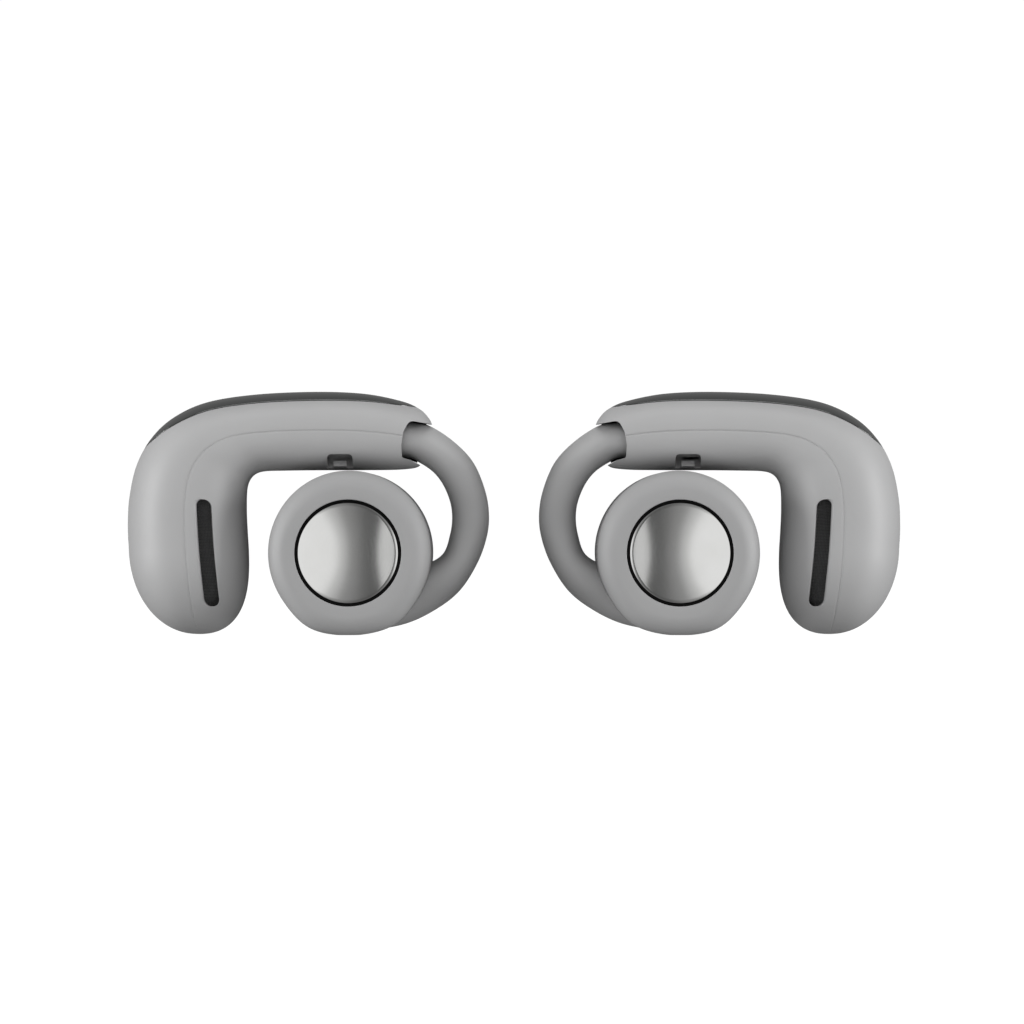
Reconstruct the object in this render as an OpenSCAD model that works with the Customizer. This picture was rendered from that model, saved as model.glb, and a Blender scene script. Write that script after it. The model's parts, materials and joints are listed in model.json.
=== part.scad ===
// A pair of open-ear headphones: two mirrored ear-hook pieces.
// Each has a pod (driver lobe and electronics bar), a flexible hook and a battery capsule with a button.
// +Z points away from the wearer's head, +X to the wearer's right, -Y is the side of the polished buttons.
// The origin is midway between the two pieces, at the height of their lowest points.
// All sizes are in millimetres. The right piece is drawn, and the left one is its mirror image.

/* [Pod] */
// Wall of the inner shell
inner_wall = 1.1; // [0.8:0.1:1.4]
// Wall of the outer shell, cover seat included
outer_wall = 1.7; // [1.6:0.1:2]
// Thickness of the glossy cover
cover_thick = 0.8; // [0.5:0.1:0.9]
// Gap round the cover
cover_gap = 0.1; // [0.05:0.01:0.15]
// Squareness of the pod's cross-section
pod_square = 2.5; // [2:0.1:3]
// Width of the sound slot
slot_w = 1.45; // [0.8:0.05:1.6]

/* [Capsule] */
// Radius of the battery capsule
capsule_r = 8.15; // [7.5:0.05:8.15]
// Length of the battery capsule
capsule_len = 22; // [20:0.5:22]
// Wall of the capsule
capsule_wall = 1.1; // [0.8:0.1:1.4]
// Radius of the polished button
button_r = 5.05; // [4.5:0.01:5.1]
// Travel of the button
button_travel = 0.25; // [0.1:0.05:0.3]
// Width of the black seal round the button
seal_w = 0.18; // [0.15:0.01:0.4]

/* [Driver] */
// Outer radius of the driver's frame
driver_r = 6.3; // [5.5:0.1:6.3]
// Radius of the magnet
magnet_r = 3.1; // [2.5:0.1:3.1]

/* [Hook] */
// Gap between the two halves of the hook sleeve
hook_gap = 0.3; // [0.2:0.05:0.5]
// Diameter of the memory wire
wire_d = 0.9; // [0.6:0.1:1]
// Diameter of the hook cable
cable_d = 0.7; // [0.5:0.1:0.8]

/* [Hidden] */
node = "all";
$fn = 64;

// Pod stations from the bar's end to the driver lobe, each the line from the outer guide to the inner one:
// [outer x, outer z, inner x, inner z, half depth]
POD = [
    [8.15, 20.9, 9.3, 16.95, 4.9], [8.5, 21.6, 9.6, 16.68, 5.6], [9.4, 22.5, 10.3, 16.5, 6.2],
    [11.2, 23.3, 12, 16.38, 6.7], [15, 24.05, 15.2, 16.35, 7.2], [20, 24.24, 19.5, 16.34, 7.7],
    [26, 23.95, 23, 16.3, 8.2], [30.8, 23.15, 24.8, 16.25, 8.6], [34.1, 21.6, 25.75, 16, 9],
    [36.3, 19.5, 26.35, 15.4, 9.2], [37.75, 16.8, 26.65, 14.4, 9.4], [38.45, 13.6, 26.7, 12.4, 9.5],
    [38.6, 10.8, 26.62, 10.4, 9.5], [38.5, 8.5, 26.5, 8.5, 9.5]
];
POD_LAST = len(POD) - 1;
LOBE_TIP_X = 31.45;
TIP_ANGLE = 88;
TIP_POWER = 0.87;

// Hook stations from the bar to the capsule:
// [outer x, outer z, inner x, inner z, middle y, half depth]
HOOK = [
    [13.4, 21.2, 13.4, 17.64, 0, 4.4], [11.4, 21.2, 11.4, 17.64, 0, 4.4], [10.2, 21.15, 10.4, 17.56, 0, 4.4],
    [8.5, 20.84, 9.6, 17.22, 0, 4.3],
    [6.1, 19.3, 8.2, 16.3, 0.1, 3.9], [4.1, 17.2, 7.2, 15.1, 0.5, 3.5], [2.9, 14.4, 6.45, 13.4, 1.1, 3.2],
    [2.5, 11.9, 6.2, 11.75, 1.7, 3.1], [2.75, 9.6, 6.4, 10, 2.2, 3.1], [3.7, 7, 7.1, 8.05, 2.7, 3.3],
    [5.4, 4.35, 8.8, 6.95, 3.1, 3.7], [7.7, 2.5, 11, 6.2, 3.3, 4.2], [10.8, 1, 12.8, 5.6, 3.4, 4.6],
    [15, 0.15, 15.2, 4.6, 3.4, 4.8]
];
HOOK_LAST = len(HOOK) - 1;
HOOK_START = 1;
HOOK_MID = 7;

CAPSULE_X = 16.4;
CAPSULE_Z = capsule_r;
FRONT_Y = -capsule_len / 2;
DRIVER_X = 32.2;
DRIVER_Z = 9.6;

SIDES = ["left", "right"];
PIECES = [
    "glossy_cover", "outer_shell", "inner_shell", "slot_grille", "main_board", "shield_can", "antenna",
    "voice_mic", "driver_frame", "driver_yoke", "driver_magnet", "driver_top_plate", "driver_surround",
    "diaphragm", "voice_coil", "hook_clamp", "hook_root", "hook_tip", "memory_wire", "hook_cable",
    "capsule_body", "battery_cell", "protection_board", "charge_contacts", "button_disc", "button_seal",
    "button_switch", "button_board"
];
NODES = [for (side = SIDES) for (piece = PIECES) str(side, "_", piece)];

// ---- curves ----

function cubic(a, b, c, d, u) =
    0.5 * (2 * b + (c - a) * u + (2 * a - 5 * b + 4 * c - d) * u * u + (3 * b - a - 3 * c + d) * u * u * u);

// A smooth curve through the rows of a list, at row number t
function along(rows, t) =
    let (last = len(rows) - 1, i = max(0, min(floor(t), last - 1)), u = t - i)
    cubic(rows[max(i - 1, 0)], rows[i], rows[i + 1], rows[min(i + 2, last)], u);

function power(value, exponent) = sign(value) * pow(abs(value), exponent);

// ---- pod surface ----

// Past the last station the lobe closes as a blunt half ellipse
function pod_end(u) =
    let (
        row = POD[POD_LAST],
        angle = TIP_ANGLE * pow(u, 1 / TIP_POWER),
        rise = pow(sin(angle), TIP_POWER),
        width = pow(cos(angle), TIP_POWER),
        start = (row[0] + row[2]) / 2,
        middle = start + (LOBE_TIP_X - start) * pow(rise, 1.5),
        half = (row[0] - row[2]) / 2 * width,
        z = row[1] * (1 - rise)
    )
    [middle + half, z, middle - half, z, row[4] * width];

function pod_row(t) = t <= POD_LAST ? along(POD, t) : pod_end(t - POD_LAST);

// The point of the pod's surface at station t and angle a from the outer guide, sunk by depth
function pod_point(t, a, depth) =
    let (
        row = pod_row(t),
        outer = [row[0], row[1]],
        inner = [row[2], row[3]],
        half = norm(outer - inner) / 2,
        dir = (outer - inner) / (2 * half),
        p = (outer + inner) / 2 + dir * (half - depth) * power(cos(a), 2 / pod_square)
    )
    [p[0], (row[4] - depth) * power(sin(a), 2 / pod_square), p[1]];

// ---- meshes ----

// The faces that join equal closed rings, with an end cap on each end
function tube_faces(rings, n) = concat(
    [[for (j = [0 : n - 1]) j]],
    [for (i = [0 : rings - 2]) for (j = [0 : n - 1]) let (k = (j + 1) % n) each [
        [i * n + j, (i + 1) * n + j, (i + 1) * n + k],
        [i * n + j, (i + 1) * n + k, i * n + k]
    ]],
    [[for (j = [n - 1 : -1 : 0]) (rings - 1) * n + j]]
);

module loft(rings) {
    polyhedron([for (ring = rings) each ring], tube_faces(len(rings), len(rings[0])), convexity = 6);
}

// A lengthwise piece of the pod between two angles, closed by flat strips
module pod_half(stations, from, to, depth, steps = 12) {
    loft([for (t = stations)
        [for (j = [steps : -1 : 0]) pod_point(t, from + (to - from) * j / steps, depth)]]);
}

// A patch of the pod's skin between two depths, widest in the middle and round at both ends,
// which are cut off where the patch has narrowed to the share called blunt
module pod_patch(t0, t1, middle, half, top, bottom, steps = 18, across = 8, blunt = 0.02) {
    width = function (u) half * max(sqrt(1 - pow(abs(2 * u - 1), 3)), blunt);
    loft([for (i = [0 : steps]) let (u = 0.5 - 0.5 * cos(180 * i / steps), t = t0 + (t1 - t0) * u) concat(
        [for (j = [across : -1 : 0]) pod_point(t, middle + width(u) * (2 * j / across - 1), top)],
        [for (j = [0 : across]) pod_point(t, middle + width(u) * (2 * j / across - 1), bottom)]
    )]);
}

// ---- pod pieces ----

BODY_STATIONS = concat([for (t = [0 : 0.5 : POD_LAST]) t], [for (u = [1 : 8]) POD_LAST + u / 8]);
CAVITY_STATIONS = concat([for (t = [1.2 : 0.59 : POD_LAST]) t], [for (u = [1 : 4]) POD_LAST + u * 0.15]);
COVER_T0 = 2.2;
COVER_T1 = 9.4;
COVER_HALF_ANGLE = 45;
// Clearance between parts that sit against each other
TOUCH = 0.02;

// The mouth in the bar's end that takes the hook's root, as [x, z] points
MOUTH = [
    [5, 20.4], [9.9, 21.25], [10.5, 21.1], [11, 20.2], [11.2, 18.9], [11.15, 17.6], [10.3, 17.38], [5, 14.6]
];
THROUGH = 30;
// The angle by which the cavities run past the parting line
PAST = 10;

module hook_notch() {
    rotate([90, 0, 0]) linear_extrude(THROUGH, center = true) polygon(MOUTH);
}

module glossy_cover() {
    color("#3d403f") pod_patch(COVER_T0, COVER_T1, 0, COVER_HALF_ANGLE, 0, cover_thick);
}

module outer_shell() {
    seat_grow = 1.2;
    above_skin = -0.6;
    color("#a3a3a3") difference() {
        pod_half(BODY_STATIONS, -90, 90, 0);
        pod_half(CAVITY_STATIONS, -90 - PAST, 90 + PAST, outer_wall);
        pod_patch(COVER_T0 - cover_gap, COVER_T1 + cover_gap / 2, 0, COVER_HALF_ANGLE + seat_grow,
            above_skin, cover_thick + TOUCH);
        hook_notch();
    }
}

SLOT_BACK = -5;
SLOT_REACH = 6;

// The sound slot's outline, seen from the front
module slot_shape() {
    middle = [[30.65, 12.8], [30.42, 8.3], [29.95, 3.5]];
    for (i = [0 : len(middle) - 2]) hull() {
        translate(middle[i]) circle(d = slot_w);
        translate(middle[i + 1]) circle(d = slot_w);
    }
}

MIC_X = 17.3;
MIC_TOP = 17.95;
POCKET_W = 2.55;
POCKET_DEPTH = 6.4;
POCKET_BACK = -3.1;
// The sound port from the pocket up to the microphone
PORT_Y = POCKET_BACK - 0.6;
BELOW_BAR = 15;

// A deep pocket in the bar's lower front edge, with rounded top corners and a small lug left in its middle
module microphone_notch() {
    corner = 0.5;
    lug = [1.3, 1.7, 2.3];
    port = 0.7;
    difference() {
        translate([MIC_X, POCKET_BACK, 0]) rotate([90, 0, 0]) linear_extrude(POCKET_DEPTH) hull() {
            for (side = [-1, 1]) translate([side * (POCKET_W / 2 - corner), MIC_TOP - corner])
                circle(r = corner);
            translate([-POCKET_W / 2, BELOW_BAR]) square([POCKET_W, corner]);
        }
        translate([MIC_X - lug[0] / 2, POCKET_BACK - lug[1], BELOW_BAR]) cube(lug);
    }
    translate([MIC_X, PORT_Y, MIC_TOP - corner]) cylinder(d = port, h = 3);
}

// The wall left round the pocket inside the bar
module microphone_boss() {
    wall = 0.6;
    front = -7;
    width = POCKET_W + 2 * wall;
    translate([MIC_X - width / 2, front, BELOW_BAR])
        cube([width, POCKET_BACK + wall - front, MIC_TOP + wall - BELOW_BAR]);
}

module inner_shell() {
    color("#9c9c9c") difference() {
        pod_half(BODY_STATIONS, 90, 270, 0);
        difference() {
            pod_half(CAVITY_STATIONS, 90 - PAST, 270 + PAST, inner_wall);
            microphone_boss();
        }
        translate([0, SLOT_BACK, 0]) rotate([90, 0, 0]) linear_extrude(SLOT_REACH) slot_shape();
        microphone_notch();
        hook_notch();
    }
}

module slot_grille() {
    sunk = inner_wall + 0.15;
    thick = 0.2;
    hole = 0.5;
    hole_x = 30.3;
    color("#2a2a2a") difference() {
        pod_patch(10.6, POD_LAST + 0.56, 252, 9.5, sunk, sunk + thick, steps = 12, across = 4, blunt = 0.55);
        for (z = [4.5 : 2 * hole : 12.5]) translate([hole_x, SLOT_BACK, z]) rotate([90, 0, 0])
            cylinder(d = hole, h = SLOT_REACH);
    }
}

// ---- electronics in the bar, each a block given by its low corner and its size ----

MAIN_BOARD = [[14.5, -4, 19.6], [13, 8, 0.8]];
CAN = [[16, -3.2, 20.4], [8, 6.4, 1.1]];
ANTENNA = [[14, -3.4, 21.7], [12, 6.8, 0.2]];
ANTENNA_HOLE = [[15, -1.6, 21], [9.5, 3.2, 2]];
VOICE_MIC = [[MIC_X - 1.6, -4, 18.6], [3.2, 2.4, 1]];

module block(place) {
    translate(place[0]) cube(place[1]);
}

module main_board() {
    peg_hole = [25.5, 0, 19];
    color("darkgreen") difference() {
        block(MAIN_BOARD);
        translate(peg_hole) cylinder(d = 1.2, h = 2);
    }
}

module shield_can() {
    foil = 0.15;
    color("silver") difference() {
        block(CAN);
        block([CAN[0] + [foil, foil, -foil], CAN[1] - [2 * foil, 2 * foil, 0]]);
    }
}

module antenna() {
    color("goldenrod") difference() {
        block(ANTENNA);
        block(ANTENNA_HOLE);
    }
}

module voice_mic() {
    port = 0.4;
    color("gold") difference() {
        block(VOICE_MIC);
        translate([MIC_X, PORT_Y, VOICE_MIC[0][2] - 0.1]) cylinder(d = port, h = port);
    }
}

// ---- driver, drawn along its own axis and turned to face the ear ----

module in_driver() {
    translate([DRIVER_X, 0, DRIVER_Z]) rotate([0, 90, 0]) children();
}

module ring(r_out, r_in, low, high) {
    translate([0, 0, low]) difference() {
        cylinder(r = r_out, h = high - low);
        translate([0, 0, -1]) cylinder(r = r_in, h = high - low + 2);
    }
}

YOKE_R = magnet_r + 1.6;
YOKE_WALL = 0.6;
FRAME_WALL = 0.5;
SURROUND_IN = 5.1;
CONE_R = 5.05;
// Distances from the ear side of the driver: the cone, the top plate, the magnet and the yoke
CONE_LOW = 0.45;
CONE_HIGH = 0.6;
FRAME_STEP = 1.2;
PLATE_LOW = 1.3;
MAGNET_LOW = 1.7;
MAGNET_HIGH = 2.7;
YOKE_HIGH = 3.2;
COIL_HIGH = 2.2;
COIL_IN = magnet_r + 0.35;
COIL_WIND = 0.3;

module driver_frame() {
    color("#505050") in_driver() {
        ring(driver_r, driver_r - FRAME_WALL, 0, FRAME_STEP);
        ring(driver_r, YOKE_R + TOUCH, FRAME_STEP, FRAME_STEP + YOKE_WALL);
    }
}

module driver_yoke() {
    color("silver") in_driver() difference() {
        translate([0, 0, FRAME_STEP]) cylinder(r = YOKE_R, h = YOKE_HIGH - FRAME_STEP);
        translate([0, 0, 1]) cylinder(r = YOKE_R - YOKE_WALL, h = MAGNET_HIGH - 1);
    }
}

module driver_magnet() {
    color("#777777") in_driver() translate([0, 0, MAGNET_LOW])
        cylinder(r = magnet_r, h = MAGNET_HIGH - MAGNET_LOW);
}

module driver_top_plate() {
    color("silver") in_driver() translate([0, 0, PLATE_LOW])
        cylinder(r = magnet_r + 0.1, h = MAGNET_LOW - PLATE_LOW);
}

module driver_surround() {
    wide = driver_r - FRAME_WALL - SURROUND_IN;
    film = 0.15;
    middle = [SURROUND_IN + wide / 2, CONE_HIGH];
    color("#222222") in_driver() rotate_extrude() translate(middle) difference() {
        circle(d = wide, $fn = 24);
        circle(d = wide - 2 * film, $fn = 24);
        translate([-1, 0]) square([2, 1]);
    }
}

module diaphragm() {
    dome_r = 10.6;
    dome_middle = 10;
    cone_in = magnet_r + 0.3;
    film = CONE_HIGH - CONE_LOW;
    color("#d8d8d8") in_driver() {
        ring(CONE_R, cone_in, CONE_LOW, CONE_HIGH);
        translate([0, 0, CONE_HIGH]) rotate_extrude() intersection() {
            translate([0, dome_middle]) difference() {
                circle(r = dome_r);
                circle(r = dome_r - film);
            }
            translate([0, -1]) square([cone_in + 0.1, 1]);
        }
    }
}

module voice_coil() {
    color("#b87333") in_driver() ring(COIL_IN + COIL_WIND, COIL_IN, CONE_HIGH, COIL_HIGH);
}

// ---- hook ----

function hook_row(t) = along(HOOK, t);

// A ring of the hook's section, as a share of its size or at a fixed radius round a shifted middle
function hook_ring(t, half_w, half_d, shift, n) =
    let (
        row = hook_row(t),
        outer = [row[0], row[1]],
        inner = [row[2], row[3]],
        dir = (outer - inner) / norm(outer - inner),
        w = half_w == 0 ? norm(outer - inner) / 2 : half_w,
        d = half_d == 0 ? row[5] : half_d,
        squareness = half_w == 0 ? 2.3 : 2
    )
    [for (j = [0 : n - 1]) let (
        a = 360 * j / n,
        p = (outer + inner) / 2 + dir * w * power(cos(a), 2 / squareness)
    ) [p[0], row[4] + shift + d * power(sin(a), 2 / squareness), p[1]]];

module hook_run(from, to, steps, half_w = 0, half_d = 0, shift = 0, n = 16) {
    loft([for (i = [0 : steps]) hook_ring(from + (to - from) * i / steps, half_w, half_d, shift, n)]);
}

WIRE_SHIFT = 0.75;
WIRE_START = 0.1;
WIRE_END = 10.2;
WIRE_STEPS = 19;
BORE_W = 0.75;
BORE_D = 1.5;
BORE_END = 11;
BORE_SIDES = 10;
SLEEVE_STEPS = 13;
// Distance between the hook's stations near its middle
MID_SPACING = 2.4;
GAP_STEP = hook_gap / 2 / MID_SPACING;

module hook_root() {
    color("#8f8f8f") difference() {
        hook_run(HOOK_START, HOOK_MID - GAP_STEP, SLEEVE_STEPS);
        hook_run(HOOK_START - 0.2, HOOK_MID + 0.1, SLEEVE_STEPS, BORE_W, BORE_D, n = BORE_SIDES);
    }
}

module hook_tip() {
    color("#8f8f8f") difference() {
        hook_run(HOOK_MID + GAP_STEP, HOOK_LAST, SLEEVE_STEPS);
        hook_run(HOOK_MID - 0.1, BORE_END, 10, BORE_W, BORE_D, n = BORE_SIDES);
        on_capsule() cylinder(r = capsule_r, h = 2 * THROUGH, center = true);
    }
}

module memory_wire() {
    color("#b0b0b0") hook_run(WIRE_START, WIRE_END, WIRE_STEPS, wire_d / 2, wire_d / 2, -WIRE_SHIFT, 6);
}

module hook_cable() {
    color("#333333") hook_run(WIRE_START, WIRE_END, WIRE_STEPS, cable_d / 2, cable_d / 2, WIRE_SHIFT, 6);
}

module hook_clamp() {
    stations = [3.05, 3.4];
    hole = wire_d + 0.1;
    hole_x = 11;
    hole_z = (HOOK[0][1] + HOOK[0][3]) / 2;
    color("#606060") difference() {
        pod_half(stations, -90, 270, outer_wall + 0.05, 24);
        for (side = [-1, 1]) translate([hole_x, side * WIRE_SHIFT, hole_z]) rotate([0, 90, 0])
            cylinder(d = hole, h = 5);
    }
}

// ---- capsule, drawn along its own axis from its middle, front towards -Y ----

module on_capsule() {
    translate([CAPSULE_X, 0, CAPSULE_Z]) rotate([-90, 0, 0]) children();
}

FRONT_ROUND = 1.7;
BACK_ROUND = 3;
BUTTON_GAP = 0.05;
BORE_R = button_r + BUTTON_GAP + seal_w;
FRONT_WALL = 2.2;
FLANGE_LOW = FRONT_Y + FRONT_WALL + 0.05;
FLANGE = 0.4;
CONTACT_R = 0.8;
CONTACT_X = 2.2;
CONTACT_SEAT = capsule_len / 2 - capsule_wall;
CELL_R = 6.4;
CELL_FRONT = -5.8;
CELL_LEN = 13;
NECK_Y = 5;
BOARD_THICK = 0.6;
BUTTON_BOARD_Y = -7;

module capsule_outline() {
    translate([0, FRONT_Y]) square([capsule_r - FRONT_ROUND, capsule_len / 2]);
    translate([0, FRONT_Y + FRONT_ROUND]) square([capsule_r, capsule_len - FRONT_ROUND - BACK_ROUND]);
    square([capsule_r - BACK_ROUND, capsule_len / 2]);
    translate([capsule_r - FRONT_ROUND, FRONT_Y + FRONT_ROUND]) circle(r = FRONT_ROUND);
    translate([capsule_r - BACK_ROUND, -FRONT_Y - BACK_ROUND]) circle(r = BACK_ROUND);
}

module capsule_body() {
    color("#9a9a9a") on_capsule() difference() {
        rotate_extrude() capsule_outline();
        translate([0, 0, FRONT_Y - 1]) cylinder(r = BORE_R, h = FRONT_WALL + 2);
        translate([0, 0, FRONT_Y + FRONT_WALL])
            cylinder(r = capsule_r - capsule_wall, h = capsule_len - FRONT_WALL - BACK_ROUND);
        translate([0, 0, NECK_Y]) cylinder(r = capsule_r - BACK_ROUND, h = CONTACT_SEAT - NECK_Y);
        for (side = [-1, 1]) translate([side * CONTACT_X, 0, NECK_Y])
            cylinder(r = CONTACT_R, h = THROUGH);
    }
}

module charge_contacts() {
    flange = 0.4;
    inset = 0.05;
    color("goldenrod") on_capsule() for (side = [-1, 1]) translate([side * CONTACT_X, 0, 0]) {
        translate([0, 0, CONTACT_SEAT]) cylinder(r = CONTACT_R, h = capsule_wall - inset);
        translate([0, 0, CONTACT_SEAT - flange]) cylinder(r = CONTACT_R + flange, h = flange);
    }
}

module button_seal() {
    recess = 0.08;
    color("#101010") on_capsule()
        ring(BORE_R, button_r + BUTTON_GAP, FRONT_Y + recess, FRONT_Y + FRONT_WALL - BUTTON_GAP);
}

module button_disc() {
    recess = 0.12;
    dish_r = 60;
    dish_depth = 0.22;
    color("#d8d8d4") on_capsule() difference() {
        union() {
            translate([0, 0, FRONT_Y + recess]) cylinder(r = button_r, h = FLANGE_LOW - FRONT_Y - recess);
            translate([0, 0, FLANGE_LOW]) cylinder(r = BORE_R + FLANGE, h = FLANGE);
        }
        translate([0, 0, FRONT_Y + recess + dish_depth - dish_r]) sphere(r = dish_r, $fn = 96);
    }
}

// The switch stands clear of the button's flange by its travel and a little more
module button_switch() {
    spare = 0.1;
    switch_r = 2.2;
    top = FLANGE_LOW + FLANGE + button_travel + spare;
    color("silver") on_capsule() translate([0, 0, top]) cylinder(r = switch_r, h = BUTTON_BOARD_Y - top);
}

module button_board() {
    color("darkgreen") on_capsule() translate([0, 0, BUTTON_BOARD_Y]) cylinder(r = CELL_R, h = BOARD_THICK);
}

module battery_cell() {
    color("#4a6fa5") on_capsule() translate([0, 0, CELL_FRONT]) cylinder(r = CELL_R, h = CELL_LEN);
}

module protection_board() {
    gap = 0.3;
    board_r = 4.9;
    color("darkgreen") on_capsule() translate([0, 0, CELL_FRONT + CELL_LEN + gap])
        cylinder(r = board_r, h = BOARD_THICK);
}

// ---- both sides ----

module on(side) {
    mirror([side == "left" ? 1 : 0, 0, 0]) children();
}

function wants(side, piece) = node == "all" || node == str(side, "_", piece);

for (side = SIDES) on(side) {
    if (wants(side, "glossy_cover")) glossy_cover();
    if (wants(side, "outer_shell")) outer_shell();
    if (wants(side, "inner_shell")) inner_shell();
    if (wants(side, "slot_grille")) slot_grille();
    if (wants(side, "main_board")) main_board();
    if (wants(side, "shield_can")) shield_can();
    if (wants(side, "antenna")) antenna();
    if (wants(side, "voice_mic")) voice_mic();
    if (wants(side, "driver_frame")) driver_frame();
    if (wants(side, "driver_yoke")) driver_yoke();
    if (wants(side, "driver_magnet")) driver_magnet();
    if (wants(side, "driver_top_plate")) driver_top_plate();
    if (wants(side, "driver_surround")) driver_surround();
    if (wants(side, "diaphragm")) diaphragm();
    if (wants(side, "voice_coil")) voice_coil();
    if (wants(side, "hook_clamp")) hook_clamp();
    if (wants(side, "hook_root")) hook_root();
    if (wants(side, "hook_tip")) hook_tip();
    if (wants(side, "memory_wire")) memory_wire();
    if (wants(side, "hook_cable")) hook_cable();
    if (wants(side, "capsule_body")) capsule_body();
    if (wants(side, "battery_cell")) battery_cell();
    if (wants(side, "protection_board")) protection_board();
    if (wants(side, "charge_contacts")) charge_contacts();
    if (wants(side, "button_disc")) button_disc();
    if (wants(side, "button_seal")) button_seal();
    if (wants(side, "button_switch")) button_switch();
    if (wants(side, "button_board")) button_board();
}
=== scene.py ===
"""The looks of a pair of ear-hook open-ear headphones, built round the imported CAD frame.

The right-hand piece is worked out in millimetres, and the left-hand one is its mirror image.
"""

import json

import math

import bmesh
import bpy
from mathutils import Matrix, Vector


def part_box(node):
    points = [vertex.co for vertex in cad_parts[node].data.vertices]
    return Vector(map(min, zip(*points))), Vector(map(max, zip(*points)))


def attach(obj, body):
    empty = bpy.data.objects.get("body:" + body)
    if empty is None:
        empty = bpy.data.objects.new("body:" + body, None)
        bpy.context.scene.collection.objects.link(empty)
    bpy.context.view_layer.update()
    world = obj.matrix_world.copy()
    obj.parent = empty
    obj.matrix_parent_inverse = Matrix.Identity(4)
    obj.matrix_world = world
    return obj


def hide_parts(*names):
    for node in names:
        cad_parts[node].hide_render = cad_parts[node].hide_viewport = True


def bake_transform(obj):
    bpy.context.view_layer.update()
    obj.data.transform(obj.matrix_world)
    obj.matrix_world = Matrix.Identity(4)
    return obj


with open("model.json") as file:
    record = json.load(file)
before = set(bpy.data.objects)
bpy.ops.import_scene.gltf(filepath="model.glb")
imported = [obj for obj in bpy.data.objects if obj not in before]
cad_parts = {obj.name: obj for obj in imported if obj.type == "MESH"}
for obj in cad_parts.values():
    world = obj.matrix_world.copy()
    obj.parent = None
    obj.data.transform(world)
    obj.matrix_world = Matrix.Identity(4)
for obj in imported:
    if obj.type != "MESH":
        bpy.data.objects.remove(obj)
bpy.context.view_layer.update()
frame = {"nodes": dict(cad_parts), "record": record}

MM = 0.001
SIDES = {"left": -1, "right": 1}

# ---- the shape's driving numbers, in millimetres, as in the CAD ----

# Pod stations from the bar's end to the lobe: outer x, outer z, inner x, inner z, half depth
POD = [
    (8.15, 20.9, 9.3, 16.95, 4.9), (8.5, 21.6, 9.6, 16.68, 5.6), (9.4, 22.5, 10.3, 16.5, 6.2),
    (11.2, 23.3, 12, 16.38, 6.7), (15, 24.05, 15.2, 16.35, 7.2), (20, 24.24, 19.5, 16.34, 7.7),
    (26, 23.95, 23, 16.3, 8.2), (30.8, 23.15, 24.8, 16.25, 8.6), (34.1, 21.6, 25.75, 16, 9),
    (36.3, 19.5, 26.35, 15.4, 9.2), (37.75, 16.8, 26.65, 14.4, 9.4), (38.45, 13.6, 26.7, 12.4, 9.5),
    (38.6, 10.8, 26.62, 10.4, 9.5), (38.5, 8.5, 26.5, 8.5, 9.5),
]
# Hook stations from the bar to the capsule: outer x, outer z, inner x, inner z, middle y, half depth
HOOK = [
    (13.4, 21.2, 13.4, 17.64, 0, 4.4), (11.4, 21.2, 11.4, 17.64, 0, 4.4), (10.2, 21.15, 10.4, 17.56, 0, 4.4),
    (8.5, 20.84, 9.6, 17.22, 0, 4.3), (6.1, 19.3, 8.2, 16.3, 0.1, 3.9), (4.1, 17.2, 7.2, 15.1, 0.5, 3.5),
    (2.9, 14.4, 6.45, 13.4, 1.1, 3.2), (2.5, 11.9, 6.2, 11.75, 1.7, 3.1), (2.75, 9.6, 6.4, 10, 2.2, 3.1),
    (3.7, 7, 7.1, 8.05, 2.7, 3.3), (5.4, 4.35, 8.8, 6.95, 3.1, 3.7), (7.7, 2.5, 11, 6.2, 3.3, 4.2),
    (10.8, 1, 12.8, 5.6, 3.4, 4.6), (15, 0.15, 15.2, 4.6, 3.4, 4.8),
]
POD_LAST = len(POD) - 1
LOBE_TIP_X = 31.45
TIP_ANGLE = math.radians(88)
TIP_POWER = 0.87
# How far the skin lies inside the CAD's, so that a finer mesh never stands proud of it
SKIN = 0.03
POD_SQUARE = 2.5
HOOK_SQUARE = 2.3
INNER_WALL = 1.1
OUTER_WALL = 1.7

# The cover's first and last station, and half the angle it takes in its middle
COVER_T = (2.2, 9.4)
COVER_HALF = 45.0
COVER_THICK = 0.8
COVER_SEAT_GAP = 0.02
SLOT_W = 1.45
# The slot's middle line, from its top to its foot, as x and z
SLOT_LINE = [(30.7, 13.45), (30.65, 12.0), (30.42, 8.3), (29.95, 3.5), (29.85, 2.85)]

CAPSULE_LOW, CAPSULE_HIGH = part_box("right_capsule_body")
CAPSULE_X = (CAPSULE_LOW[0] + CAPSULE_HIGH[0]) / 2 / MM
CAPSULE_Z = (CAPSULE_LOW[2] + CAPSULE_HIGH[2]) / 2 / MM
CAPSULE_R = (CAPSULE_HIGH[0] - CAPSULE_LOW[0]) / 2 / MM
CAPSULE_FRONT = CAPSULE_LOW[1] / MM
CAPSULE_BACK = CAPSULE_HIGH[1] / MM
FLANGE_R = (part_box("right_button_disc")[1][2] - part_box("right_button_disc")[0][2]) / 2 / MM
# How much further out the button's flange reaches than its face
FLANGE_REACH = 0.68
BUTTON_R = FLANGE_R - FLANGE_REACH
BORE_R = (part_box("right_button_seal")[1][2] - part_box("right_button_seal")[0][2]) / 2 / MM


# ---- curves and surfaces ----

def along(rows, t):
    """A smooth curve through the rows of a list, at row number t."""
    last = len(rows) - 1
    i = max(0, min(int(math.floor(t)), last - 1))
    u = t - i
    a, b, c, d = (rows[k] for k in (max(i - 1, 0), i, i + 1, min(i + 2, last)))
    return tuple(
        0.5 * (2 * q + (r - p) * u + (2 * p - 5 * q + 4 * r - s) * u * u + (3 * q - p - 3 * r + s) * u ** 3)
        for p, q, r, s in zip(a, b, c, d)
    )


def power(value, exponent):
    return math.copysign(abs(value) ** exponent, value)


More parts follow.
